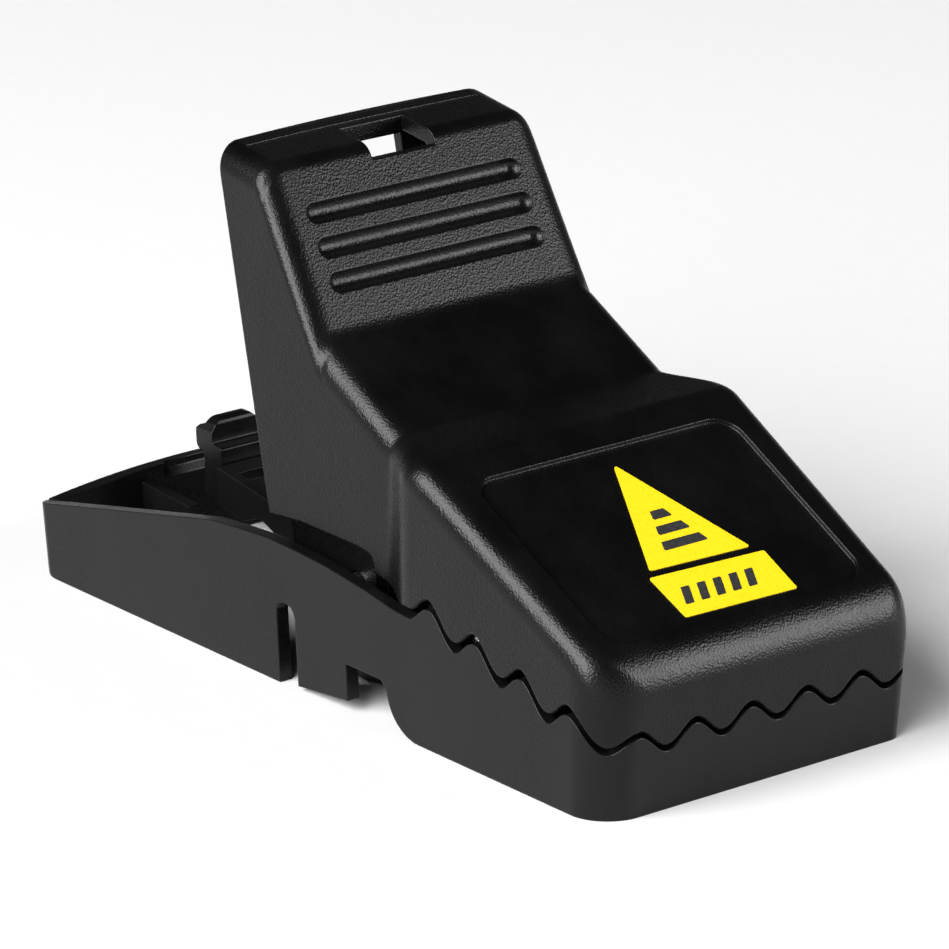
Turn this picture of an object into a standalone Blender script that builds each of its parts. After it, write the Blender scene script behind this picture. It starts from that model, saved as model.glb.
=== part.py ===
"""Press-to-set snap mouse trap: a hollow base with a toothed front edge, an upper jaw that
pivots inside it on a steel pin, two torsion springs, a trigger lever with its latch hook and
pedal, and a bait cup in the floor.

Frame: +X towards the nose, +Y to the left of the trap, +Z up, origin under the middle of
the trap. Design sizes are millimetres measured from the foot of the rear wall; point() turns
them into metres in the trap's own frame.
"""
import math

import bmesh
import bpy
from mathutils import Matrix, Vector

for old in list(bpy.data.objects):
    bpy.data.objects.remove(old, do_unlink=True)

# ---------------------------------------------------------------- driving dimensions (mm)
MM = 0.001
MIDDLE = 50.11              # middle of the whole trap, from the foot of the rear wall
LENGTH = 100.0              # base, foot to foot
HALF_WIDTH = 21.24          # base, at its foot
DRAFT = math.tan(math.radians(3.0))
WALL = 1.6                  # moulded walls
FIT = 0.3                   # gap between pieces that touch

REAR_CORNER = 1.7           # plan radii of the base
FRONT_CORNERS = {-1: 5.0, 1: 2.0}    # right and left front corners: the left one is tighter
REAR_FOOT = 2.5             # radius of the rear wall's foot, seen from the side
REAR_HEIGHT = 8.7
REAR_CROWN = 1.45           # extra height at the middle of the rear wall

PIVOT_X, PIVOT_Z = 54.0, 13.0        # jaw hinge
PIN_RADIUS = 1.5
TRIGGER_X, TRIGGER_Z = 52.0, 4.7     # trigger hinge
TRIGGER_PIN_RADIUS = 1.1

JAW_WALL = 1.7
JAW_EDGE = 3.0              # round edge between the jaw's top and its sides
HEEL_BACK = (31.3, 58.0)    # back edge of the heel, at its middle height
HEEL_BULGE = 1.0            # how far that edge bows out
EDGE_STEPS = 5              # facets of the round edge
ACROSS = 6                  # facets across the jaw's top
NECK_HALF = 19.78           # half width of the jaw's neck at its foot
NECK_TAPER = 0.017          # half width lost for each mm of height
FLARE_START, FLARE_END = 61.8, 69.6
CREASE = (38.9, 57.0)       # heel top meets thumb pad
PAD_FOOT = (49.2, 39.8)
RAMP_FOOT = (62.8, 32.8)
LABEL_TOP = (70.8, 32.2)
LABEL_FOOT = (98.4, 18.2)
NOSE_RADIUS = 6.2

GROOVES = (6.1, 10.1, 14.1)          # thumb grooves, down the pad from the crease
GROOVE_WIDTH, GROOVE_HALF, GROOVE_DEPTH = 2.1, 14.9, 0.8
PANEL_TOP, PANEL_FOOT, PANEL_HALF = 3.8, 30.0, 17.9      # sunk label panel, down the face
PANEL_DEPTH = 0.5
TRIANGLE = [(0.2, 6.1), (7.7, 21.7), (-6.0, 21.3)]       # (across, down the face)
STRIP = [(-6.8, 22.2), (8.8, 22.7), (8.9, 28.8), (-6.4, 28.5)]
HEEL_LINE = 32.9            # moulded line behind the latch slot
LATCH_SLOT = [(33.7, 53.2), (40.3, 53.2), (38.9, 55.5), (43.0, 55.5), (43.0, 62.0), (33.7, 62.0)]
LATCH_SLOT_SIDES = (-4.05, 4.85)
SKIRT_HEIGHT = 18.9         # foot of the neck's outer walls
LUG_IN, LUG_OUT = 16.5, 17.6         # plates that carry the jaw on its pin

TOOTH_GAP = 0.95            # open line between the two rows of teeth, on the sides
FRONT_GAP = 0.5             # and across the front
LIP_START = 60.1            # where the jaw's lip begins, over the plain wall top
TOOTH_START = 68.5          # where the teeth begin
SIDE_CREST, SIDE_PITCH = 95.3, 7.67
FRONT_CREST, FRONT_PITCH = -0.9, 7.7
SIDE_TOOTH, FRONT_TOOTH = 1.35, 1.15
FRONT_TOOTH_HEIGHT = 7.7
FRONT_TOOTH_FALL = 0.012     # the front teeth sit lower towards the left
WALL_TOP = [(-4.0, 7.85), (33.5, 16.0), (38.5, 16.45), (43.8, 16.8), (49.0, 16.7), (54.0, 16.4),
            (58.0, 15.95), (61.0, 15.6), (64.0, 15.05), (66.5, 14.7)]

BRACKET_IN, BRACKET_OUT = 12.6, 15.0
COIL_RADIUS = 3.9
SPRING_WIRE = 0.65          # radius
FLOOR_LEG, JAW_LEG = 22.5, 22.0      # straight legs of the jaw springs
HOOK_HALF = 3.4
CUP_X, CUP_RADIUS = 80.0, 8.4
FLOOR_LOW, FLOOR_HIGH = 2.4, 4.0

ROUND = 40                  # facets of a round piece


def point(x, y, z):
    """A place in mm, from the foot of the rear wall, as metres in the trap's frame."""
    return Vector(((x - MIDDLE) * MM, y * MM, z * MM))


# ---------------------------------------------------------------- collections and materials
def collection(name):
    made = bpy.data.collections.new(name)
    bpy.context.scene.collection.children.link(made)
    return made


PARTS = collection("snap_mouse_trap")
CUTTERS = collection("cutters")


def material(name, color, roughness, metallic=0.0):
    made = bpy.data.materials.new(name)
    made.use_nodes = True
    shader = made.node_tree.nodes["Principled BSDF"]
    shader.inputs["Base Color"].default_value = (*color, 1.0)
    shader.inputs["Roughness"].default_value = roughness
    shader.inputs["Metallic"].default_value = metallic
    return made


BASE_BLACK = material("base_black", (0.018, 0.018, 0.019), 0.34)
JAW_BLACK = material("jaw_black", (0.012, 0.012, 0.013), 0.48)
LEVER_BLACK = material("lever_black", (0.010, 0.010, 0.011), 0.42)
LABEL_YELLOW = material("label_yellow", (0.93, 0.70, 0.02), 0.45)
STEEL = material("steel", (0.62, 0.62, 0.64), 0.28, 1.0)
SPRING_STEEL = material("spring_steel", (0.42, 0.42, 0.44), 0.34, 1.0)
CUP_GREY = material("cup_grey", (0.05, 0.05, 0.055), 0.5)


# ---------------------------------------------------------------- mesh helpers
def finish(name, bm, finish_material=None):
    """Close a bmesh into an object; with no material it becomes a cutter."""
    bmesh.ops.recalc_face_normals(bm, faces=bm.faces)
    mesh = bpy.data.meshes.new(name)
    bm.to_mesh(mesh)
    bm.free()
    made = bpy.data.objects.new(name, mesh)
    if finish_material is None:
        CUTTERS.objects.link(made)
        made.hide_render = True
        made.display_type = "WIRE"
    else:
        PARTS.objects.link(made)
        mesh.materials.append(finish_material)
        mesh.shade_smooth()
        mesh.set_sharp_from_angle(angle=math.radians(32))
    return made


def loft(name, rings, finish_material=None):
    """Skin rings of equal length and close both ends."""
    bm = bmesh.new()
    loops = [[bm.verts.new(p) for p in ring] for ring in rings]
    count = len(loops[0])
    for first, second in zip(loops, loops[1:]):
        for i in range(count):
            j = (i + 1) % count
            bm.faces.new((first[i], first[j], second[j], second[i]))
    bm.faces.new(list(reversed(loops[0])))
    bm.faces.new(loops[-1])
    return finish(name, bm, finish_material)


def side_plate(name, outline, y_low, y_high, finish_material=None):
    """An (x, z) outline, swept across the trap."""
    rings = [[point(x, y, z) for x, z in outline] for y in (y_low, y_high)]
    return loft(name, rings, finish_material)


def front_plate(name, outline, x_low, x_high, finish_material=None):
    """A (y, z) outline, swept along the trap."""
    rings = [[point(x, y, z) for y, z in outline] for x in (x_low, x_high)]
    return loft(name, rings, finish_material)


def level_plate(name, outline, z_low, z_high, finish_material=None):
    """An (x, y) outline, swept upwards."""
    rings = [[point(x, y, z) for x, y in outline] for z in (z_low, z_high)]
    return loft(name, rings, finish_material)


def block(name, low, high, finish_material=None):
    outline = [(low[0], low[2]), (high[0], low[2]), (high[0], high[2]), (low[0], high[2])]
    return side_plate(name, outline, low[1], high[1], finish_material)


def cross_rod(name, x, z, radius, y_low, y_high, finish_material=None, facets=ROUND):
    """A cylinder that lies across the trap."""
    bm = bmesh.new()
    turn = Matrix.Rotation(math.pi / 2, 4, "X")
    place = Matrix.Translation(point(x, (y_low + y_high) / 2, z))
    bmesh.ops.create_cone(bm, cap_ends=True, segments=facets, radius1=radius * MM,
                          radius2=radius * MM, depth=(y_high - y_low) * MM,
                          matrix=place @ turn)
    return finish(name, bm, finish_material)


def upright_rod(name, x, y, radius, z_low, z_high, finish_material=None, facets=ROUND):
    bm = bmesh.new()
    place = Matrix.Translation(point(x, y, (z_low + z_high) / 2))
    bmesh.ops.create_cone(bm, cap_ends=True, segments=facets, radius1=radius * MM,
                          radius2=radius * MM, depth=(z_high - z_low) * MM, matrix=place)
    return finish(name, bm, finish_material)


def turned(name, profile, place, finish_material):
    """A profile of (radius, height) in mm, spun about Z by a Screw modifier."""
    mesh = bpy.data.meshes.new(name)
    verts = [(r * MM, 0.0, h * MM) for r, h in profile]
    edges = [(i, i + 1) for i in range(len(verts) - 1)]
    mesh.from_pydata(verts, edges, [])
    made = bpy.data.objects.new(name, mesh)
    PARTS.objects.link(made)
    made.matrix_world = place
    screw = made.modifiers.new("spin", "SCREW")
    screw.steps = ROUND
    screw.render_steps = ROUND
    screw.use_merge_vertices = True
    screw.merge_threshold = 0.00001
    screw.use_smooth_shade = True
    mesh.materials.append(finish_material)
    return made


def boolean(target, tool, operation):
    step = target.modifiers.new(operation.lower() + "_" + tool.name, "BOOLEAN")
    step.operation = operation
    step.solver = "EXACT"
    step.object = tool


def cut(target, *tools):
    for tool in tools:
        boolean(target, tool, "DIFFERENCE")


def join(target, *tools):
    for tool in tools:
        boolean(target, tool, "UNION")


def arc(cx, cz, radius, start, end, steps):
    """Points on a circle, angles in degrees."""
    out = []
    for i in range(steps + 1):
        a = math.radians(start + (end - start) * i / steps)
        out.append((cx + radius * math.cos(a), cz + radius * math.sin(a)))
    return out


def rounded(corners, steps=6):
    """An open path through (x, z, radius) corners with each corner rounded."""
    path = [corners[0][:2]]
    for before, here, after in zip(corners, corners[1:], corners[2:]):
        here_v = Vector(here[:2])
        back = (Vector(before[:2]) - here_v).normalized()
        ahead = (Vector(after[:2]) - here_v).normalized()
        half = back.angle(ahead) / 2
        reach = here[2] / math.tan(half)
        start, end = here_v + back * reach, here_v + ahead * reach
        centre = here_v + (back + ahead).normalized() * here[2] / math.sin(half)
        for i in range(steps + 1):
            ray = start.lerp(end, i / steps) - centre
            path.append(tuple(centre + ray.normalized() * here[2]))
    path.append(corners[-1][:2])
    return path


def wire(name, route, radius, finish_material):
    """Round wire along a route of points, as one closed mesh."""
    curve = bpy.data.curves.new(name, "CURVE")
    curve.dimensions = "3D"
    curve.bevel_depth = radius * MM
    curve.bevel_resolution = 2
    curve.use_fill_caps = True
    spline = curve.splines.new("POLY")
    spline.points.add(len(route) - 1)
    for slot, place in zip(spline.points, route):
        slot.co = (*place, 1.0)
    guide = bpy.data.objects.new(name + "_route", curve)
    PARTS.objects.link(guide)
    evaluated = guide.evaluated_get(bpy.context.evaluated_depsgraph_get())
    mesh = bpy.data.meshes.new_from_object(evaluated)
    bm = bmesh.new()
    bm.from_mesh(mesh)
    bmesh.ops.remove_doubles(bm, verts=bm.verts, dist=0.000001)
    bpy.data.objects.remove(guide, do_unlink=True)
    return finish(name, bm, finish_material)


# ---------------------------------------------------------------- the toothed edge
def side_mean(x):
    """Middle height of the teeth along the sides."""
    return 15.15 - 0.222 * (x - 72.0)


def at_height(path, x):
    """Height of a path at x."""
    for a, b in zip(path, path[1:]):
        if a[0] <= x <= b[0]:
            return a[1] + (b[1] - a[1]) * (x - a[0]) / (b[0] - a[0])
    return path[-1][1]


def side_edge(x):
    """Height of the base's edge along the sides: plain first, then toothed."""
    start = max(x, TOOTH_START)
    edge = wave((start - SIDE_CREST) / SIDE_PITCH, side_mean(start), SIDE_TOOTH)
    if x < TOOTH_START:
        return at_height(WALL_TOP + [(TOOTH_START, edge)], x)
    return edge


def front_mean(y):
    """Middle height of the teeth across the front."""
    return FRONT_TOOTH_HEIGHT - FRONT_TOOTH_FALL * y


def wave(phase, mean, height):
    return mean + height * math.cos(2 * math.pi * phase)


def half_tooth_path(side):
    """Stations along one side wall, round its corner and on to the middle of the front.

    Each is (x, y, outward x, outward y, edge height)."""
    radius = FRONT_CORNERS[side] - WALL / 2
    half = HALF_WIDTH + 0.5 - WALL / 2
    front = LENGTH + 0.5 - WALL / 2
    corner_x, corner_y = front - radius, half - radius
    path = []
    side_steps = 68
    for i in range(side_steps):
        x = LIP_START + (corner_x - LIP_START) * i / side_steps
        path.append((x, side * half, 0.0, side, side_edge(x)))
    first = (corner_x - SIDE_CREST) / SIDE_PITCH
    reach = first + radius * math.pi / 2 / FRONT_PITCH
    start = side * (FRONT_CREST - side * corner_y) / FRONT_PITCH
    last = reach + (start - reach + 0.5) % 1.0 - 0.5
    corner_steps = max(6, round(13 * radius / 4.2))
    for i in range(corner_steps):
        share = i / corner_steps
        turn = math.radians(90 * share)
        out_x, out_y = math.sin(turn), side * math.cos(turn)
        mean = side_mean(corner_x) * (1 - share) + front_mean(side * corner_y) * share
        height = SIDE_TOOTH * (1 - share) + FRONT_TOOTH * share
        edge = wave(first + (last - first) * share, mean, height)
        path.append((corner_x + radius * out_x, side * corner_y + radius * out_y, out_x, out_y,
                     edge))
    front_steps = 28
    for i in range(front_steps + 1):
        y = side * corner_y * (1 - i / front_steps)
        edge = wave((y - FRONT_CREST) / FRONT_PITCH, front_mean(y), FRONT_TOOTH)
        path.append((front, y, 1.0, 0.0, edge))
    return path


def tooth_band(name, side_lift, front_lift, far_height):
    """A band over the wall whose one face is the toothed edge, raised by the lifts."""
    rings = []
    for x, y, out_x, out_y, height in half_tooth_path(-1) + half_tooth_path(1)[-2::-1]:
        edge = height + side_lift + (front_lift - side_lift) * out_x
        ring = []
        for reach, z in ((4.0, edge), (4.0, far_height), (-3.0, far_height), (-3.0, edge)):
            ring.append(point(x + out_x * reach, y + out_y * reach, z))
        rings.append(ring)
    return loft(name, rings)


# ---------------------------------------------------------------- base
def base_outline(z, inset=0.0):
    """Plan of the base at a height: draft makes it wider upwards."""
    grow = DRAFT * z - inset
    half = HALF_WIDTH + grow
    rear, front = -grow, LENGTH + grow
    rear_r = max(REAR_CORNER - inset, 0.9)
    right_r, left_r = (max(FRONT_CORNERS[side] - inset, 0.5) for side in (-1, 1))
    ring = []
    ring += arc(front - right_r, -half + right_r, right_r, -90, 0, 9)
    ring += arc(front - left_r, half - left_r, left_r, 0, 90, 9)
    ring += arc(rear + rear_r, half - rear_r, rear_r, 90, 180, 6)
    ring += arc(rear + rear_r, -half + rear_r, rear_r, 180, 270, 6)
    return ring


def base_solid(name, z_low, z_high, inset=0.0, finish_material=None):
    rings = [[point(x, y, z) for x, y in base_outline(z, inset)] for z in (z_low, z_high)]
    return loft(name, rings, finish_material)


def wall_top_cutter(name, y_low, y_high):
    """All above the plain stretch of a side wall."""
    end = TOOTH_START + 0.01
    outline = WALL_TOP + [(end, side_edge(end)), (end, 30), (WALL_TOP[0][0], 30)]
    return side_plate(name, outline, y_low, y_high)


def rear_top_cutter():
    """Rounds the rear wall's top into a low crown."""
    steps = 20
    half = HALF_WIDTH - 1.0
    crown = []
    for i in range(steps + 1):
        y = -half + 2 * half * i / steps
        crown.append((y, REAR_HEIGHT + REAR_CROWN * (1 - (y / half) ** 2)))
    return front_plate("cut_rear_top", crown + [(half, 30), (-half, 30)], -4, WALL + 2.2)


def bracket(name, y_low, y_high):
    """The upright that carries both hinge pins."""
    outline = [(45.8, 1.0), (66.0, 1.0), (66.0, FLOOR_HIGH + 1.0), (61.5, 8.0)]
    outline += arc(PIVOT_X, PIVOT_Z, 5.2, 10, 170, 10)
    outline += [(46.6, 8.4)]
    return side_plate(name, outline, y_low, y_high)


def build_base():
    base = base_solid("base_shell", 0.0, 21.0, 0.0, BASE_BLACK)
    cut(base, base_solid("cut_cavity", -1.0, 22.0, WALL))

    floor = base_solid("add_floor", FLOOR_LOW, FLOOR_HIGH, WALL - 0.4)
    cut(floor, block("cut_floor_rear", (-5, -30, -5), (62.0, 30, 30)))
    join(base, floor)
    cross_wall = block("add_cross_wall", (62.2, -HALF_WIDTH, FLOOR_LOW), (63.8, HALF_WIDTH, 9.0))
    join(base, cross_wall)
    for side in (-1, 1):
        ends = sorted((side * BRACKET_IN, side * BRACKET_OUT))
        join(base, bracket(f"add_bracket_{ends[0]:.0f}", *ends))
    for side in (-1, 1):
        low, high = sorted((side * 6.4, side * 7.8))
        guide = [(0.6, 2.6), (10.0, 3.4), (10.0, 7.9), (0.6, 8.5)]
        join(base, side_plate(f"add_guide_{low:.0f}", guide, low, high))
    collar = upright_rod("add_collar", CUP_X, 0, CUP_RADIUS + 2.0, FLOOR_LOW, FLOOR_HIGH + 0.6)
    join(base, collar)

    for side in (-1, 1):
        low, high = sorted((side * (HALF_WIDTH - 1.3), side * 30))
        cut(base, wall_top_cutter(f"cut_wall_top_{low:.0f}", low, high))
    cut(base, tooth_band("cut_above_teeth", 0.0, 0.0, 30.0), rear_top_cutter())
    cut(base, block("cut_lever_gap", (61.0, -5.0, FLOOR_HIGH), (65.0, 5.0, 12.0)))
    cut(base, upright_rod("cut_cup_hole", CUP_X, 0, CUP_RADIUS + FIT, -1, 12))
    socket = HALF_WIDTH + DRAFT * PIVOT_Z - 0.8
    cut(base, cross_rod("cut_hinge_bore", PIVOT_X, PIVOT_Z, PIN_RADIUS + FIT, -socket, socket))
    cut(base, cross_rod("cut_trigger_bore", TRIGGER_X, TRIGGER_Z,
                        TRIGGER_PIN_RADIUS + FIT, -16, 16))

    slot = [(44.9, -2), (48.2, -2)] + arc(46.55, 8.2, 1.65, 0, 180, 8)
    cut(base, side_plate("cut_side_slot", slot, -30, 30))
    notch = [(57.1, -2), (57.1, 5.8), (63.3, 5.8)]
    notch += [(64.2 + 5.2 * (1 - math.cos(a)), 5.0 * (1 - math.sin(a)))
              for a in [math.radians(10 * k) for k in range(1, 10)]]
    notch += [(69.4, -2)]
    for side in (-1, 1):
        low, high = sorted((side * 17.5, side * 30))
        cut(base, side_plate(f"cut_notch_{low:.0f}", notch, low, high))
    foot = [(47.5, -2), (47.5, 0.45), (57.5, 1.5), (57.5, -2)]
    cut(base, side_plate("cut_middle_foot", foot, -30, 30))
    heel = arc(REAR_FOOT - 0.1, REAR_FOOT, REAR_FOOT, 270, 180, 8)
    heel += [(-3, REAR_FOOT), (-3, -1), (REAR_FOOT - 0.1, -1)]
    cut(base, side_plate("cut_rear_foot", heel, -30, 30))
    relief = [(WALL - 1.05, 30), (WALL - 1.05, REAR_HEIGHT + 0.6), (WALL + 0.8, REAR_HEIGHT - 2.2),
              (WALL + 0.8, 30)]
    cut(base, side_plate("cut_rear_relief", relief, -4.6, 4.6))
    return base


# ---------------------------------------------------------------- upper jaw
def neck_half(z):
    return NECK_HALF - NECK_TAPER * (z - 14.0)


def nose_half(z):
    return HALF_WIDTH + DRAFT * z


def split_long(path, longest):
    """Add points so that no step of a path is longer than longest."""
    out = [path[0]]
    for a, b in zip(path, path[1:]):
        steps = max(1, math.ceil(math.dist(a, b) / longest))
        for i in range(1, steps + 1):
            out.append((a[0] + (b[0] - a[0]) * i / steps, a[1] + (b[1] - a[1]) * i / steps))
    return out


def at_share(path, share):
    """The point at a share of a path's length."""
    runs = [0.0]
    for a, b in zip(path, path[1:]):
        runs.append(runs[-1] + math.dist(a, b))
    want = runs[-1] * share
    k = 0
    while k < len(path) - 2 and runs[k + 1] < want:
        k += 1
    part = (want - runs[k]) / (runs[k + 1] - runs[k])
    return tuple(path[k][i] + (path[k + 1][i] - path[k][i]) * part for i in (0, 1))


def jaw_stations():
    """Sections of the jaw from the heel's back edge to the nose's front face.

    Each is ((top x, top z), (normal x, normal z), foot or None): the neck's sections fan out
    from the hinge lug, and the nose's sections stand upright."""
    slope = (LABEL_FOOT[1] - LABEL_TOP[1]) / (LABEL_FOOT[0] - LABEL_TOP[0])
    front_z = LABEL_TOP[1] + slope * (LENGTH + 0.9 - LABEL_TOP[0])
    corner = (LENGTH + DRAFT * front_z, front_z)
    front_foot = (LENGTH + DRAFT * 11.0, 11.0)
    top = rounded([HEEL_BACK, (*CREASE, 2.4), (*PAD_FOOT, 4.5), (*RAMP_FOOT, 3.0),
                   (*LABEL_TOP, 5.0), (*corner, NOSE_RADIUS), front_foot], 5)
    front_at = max(i for i, p in enumerate(top) if p[0] < FLARE_START)
    flare = (FLARE_START, at_height(top, FLARE_START))
    neck = split_long(top[:front_at + 1] + [flare], 6.0)[:-1]
    nose = thin_middle(split_long([flare] + top[front_at + 1:-1], 1.6))
    foot = rounded([(43.0, 11.0), (47.6, 6.9, 3.0), (54.0, 5.6, 8.0), (59.6, 8.0, 2.0),
                    (60.4, 13.0)], 4)
    places = neck + nose
    normals = []
    for i, here in enumerate(places):
        before = places[max(i - 1, 0)]
        after = places[min(i + 1, len(places) - 1)]
        run = Vector((after[0] - before[0], after[1] - before[1])).normalized()
        normals.append((-run.y, run.x))
    runs = [0.0]
    for a, b in zip(neck, neck[1:]):
        runs.append(runs[-1] + math.dist(a, b))
    total = runs[-1] + math.dist(neck[-1], flare)
    feet = [at_share(foot, run / total) for run in runs] + [None] * len(nose)
    return list(zip(places, normals, feet))


def thin_middle(path):
    """Drop most stations along the straight label face."""
    kept = []
    for i, place in enumerate(path):
        straight = LABEL_TOP[0] + 3.5 < place[0] < LENGTH - max(FRONT_CORNERS.values())
        if not straight or i % 3 == 0:
            kept.append(place)
    return kept


def jaw_ring(station, inset, lower):
    """One closed section of the jaw; inset draws it inwards, lower extends its foot."""
    (top_x, top_z), (nx, nz), foot = station
    top = Vector((top_x - nx * inset, top_z - nz * inset))
    if foot is None:
        low_z = max(4.5, 13.0 - 2.6 * (top_x - FLARE_START)) - lower
        flare = min(max((top_x - FLARE_START) / (FLARE_END - FLARE_START), 0.0), 1.0)
        flare = flare * flare * (3 - 2 * flare)
        low = Vector((top.x - DRAFT * flare * (top.y - low_z), low_z))
    else:
        low = Vector(foot) + (Vector(foot) - top).normalized() * lower
        flare = 0.0
    up = (top - low).normalized()
    edge = JAW_EDGE - inset
    tall = edge / min(max(up.x * nx + up.y * nz, 0.62), 1.0)

    def half(spot, side):
        neck = neck_half(spot.y)
        wide = neck + (nose_half(spot.y) - neck) * flare - inset
        corner = max(FRONT_CORNERS[side] - inset, 0.5)
        into = (spot.x - DRAFT * spot.y) - (LENGTH - inset - corner)
        if foot is None and into > 0:
            wide -= corner - math.sqrt(max(corner ** 2 - min(into, corner) ** 2, 0.0))
        return wide

    bulge = 0.0
    if foot is not None and top_x < CREASE[0]:
        bulge = HEEL_BULGE * (CREASE[0] - top_x) / (CREASE[0] - HEEL_BACK[0])

    def half_ring(side):
        places = [(low, half(low, side))]
        for i in range(EDGE_STEPS + 1):
            a = math.radians(90 * i / EDGE_STEPS)
            spot = top - up * tall * (1 - math.sin(a))
            places.append((spot, half(spot, side) - edge * (1 - math.cos(a))))
        crown_half = places[-1][1]
        for i in range(1, ACROSS // 2):
            places.append((top, crown_half * (1 - 2 * i / ACROSS)))
        return [(spot, side * y) for spot, y in places]

    ring = []
    for spot, y in half_ring(-1) + [(top, 0.0)] + half_ring(1)[::-1]:
        reach = 0.0
        if spot is not low:
            reach = bulge * (1 - (y / half(top, 1)) ** 2)
        ring.append(point(spot.x - reach, y, spot.y))
    return ring


def on_face(origin, foot, across, along, out):
    """A place on a sloping face: across it (y), down it and out from it, in mm."""
    run = Vector((foot[0] - origin[0], foot[1] - origin[1])).normalized()
    x = origin[0] + run.x * along - run.y * out
    z = origin[1] + run.y * along + run.x * out
    return point(x, across, z)


def face_plate(name, origin, foot, outline, low, high, finish_material=None):
    """An (across, along) outline on a sloping face, from low to high above it."""
    rings = [[on_face(origin, foot, across, along, out) for across, along in outline]
             for out in (low, high)]
    return loft(name, rings, finish_material)


def rounded_rectangle(left, right, upper, lower, radius):
    outline = []
    for cx, cy, start in ((right - radius, lower - radius, 0), (left + radius, lower - radius, 90),
                          (left + radius, upper + radius, 180),
                          (right - radius, upper + radius, 270)):
        outline += arc(cx, cy, radius, start, start + 90, 6)
    return outline


def skirt_outline():
    """What the neck's outer walls leave free, so that they stay above the base's walls."""
    top = [(36.0, 18.3), (41.0, 18.3), (46.7, SKIRT_HEIGHT), (57.0, SKIRT_HEIGHT)]
    return top + arc(58.0, 17.0, 1.9, 80, 0, 4)[1:] + [(LIP_START, 14.0), (LIP_START, -5), (36.0, -5)]


def lug_outline():
    foot = rounded([(43.4, 13.0), (46.8, 7.0, 3.0), (54.0, 5.4, 8.0), (59.4, 8.0, 2.0),
                    (59.7, 13.0)], 4)
    return [(40.7, 24.0)] + foot + [(59.7, 24.0)]


def back_lip():
    """A ledge under the heel's back edge, open in the middle for the latch hook."""
    rings = []
    for z, x in ((51.5, 33.13), (57.6, 31.75)):
        front, back = [], []
        for i in range(13):
            y = -17.0 + 34.0 * i / 12
            bow = HEEL_BULGE * (1 - (y / 19.0) ** 2)
            back.append(point(x - bow + 0.15, y, z))
            front.append(point(x - bow + 1.5, y, z))
        rings.append(back + front[::-1])
    lip = loft("add_back_lip", rings)
    cut(lip, block("cut_hook_way", (28, -5.25, 50), (38, 5.25, 55.3)))
    return lip


def build_jaw():
    stations = jaw_stations()
    jaw = loft("upper_jaw", [jaw_ring(s, 0.0, 0.0) for s in stations], JAW_BLACK)
    inner = [jaw_ring(s, JAW_WALL, 6.0) for s in stations]
    behind = [p + Vector((-9.0 * MM, 0, 0)) for p in inner[0]]
    cut(jaw, loft("cut_jaw_inside", [behind] + inner))
    for side in (-1, 1):
        low, high = sorted((side * LUG_IN, side * (LUG_OUT + 0.7)))
        join(jaw, side_plate(f"add_lug_{low:.0f}", lug_outline(), low, high))
        low, high = sorted((side * LUG_OUT, side * 30))
        cut(jaw, side_plate(f"cut_skirt_{low:.0f}", skirt_outline(), low, high))
    join(jaw, back_lip())
    cut(jaw, tooth_band("cut_below_teeth", TOOTH_GAP, FRONT_GAP, -6.0))
    cut(jaw, cross_rod("cut_jaw_bore", PIVOT_X, PIVOT_Z, PIN_RADIUS + FIT, -30, 30))

    for row, along in enumerate(GROOVES):
        outline = arc(GROOVE_HALF - GROOVE_WIDTH / 2, along, GROOVE_WIDTH / 2, -90, 90, 8)
        outline += arc(-GROOVE_HALF + GROOVE_WIDTH / 2, along, GROOVE_WIDTH / 2, 90, 270, 8)
        cut(jaw, face_plate(f"cut_groove_{row}", CREASE, PAD_FOOT, outline, -GROOVE_DEPTH, 2.0))
    panel = rounded_rectangle(-PANEL_HALF, PANEL_HALF, PANEL_TOP, PANEL_FOOT, 3.0)
    cut(jaw, face_plate("cut_label_panel", LABEL_TOP, LABEL_FOOT, panel, -PANEL_DEPTH, 2.0))
    cut(jaw, side_plate("cut_latch_slot", LATCH_SLOT, *LATCH_SLOT_SIDES))
    line = [(HEEL_LINE - HEEL_BULGE * (1 - (y / 18.0) ** 2) * 0.6, y) for y in range(-16, 17, 2)]
    line += [(x + 0.45, y) for x, y in reversed(line)]
    cut(jaw, level_plate("cut_heel_line", line, 57.35, 62.0))
    return jaw


def build_label():
    """The yellow triangle and strip, as two thin stickers in the label panel."""
    low, high = -PANEL_DEPTH + 0.25, -PANEL_DEPTH + 0.45
    face_plate("label_triangle", LABEL_TOP, LABEL_FOOT, TRIANGLE, low, high, LABEL_YELLOW)
    face_plate("label_strip", LABEL_TOP, LABEL_FOOT, STRIP, low, high, LABEL_YELLOW)


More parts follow.
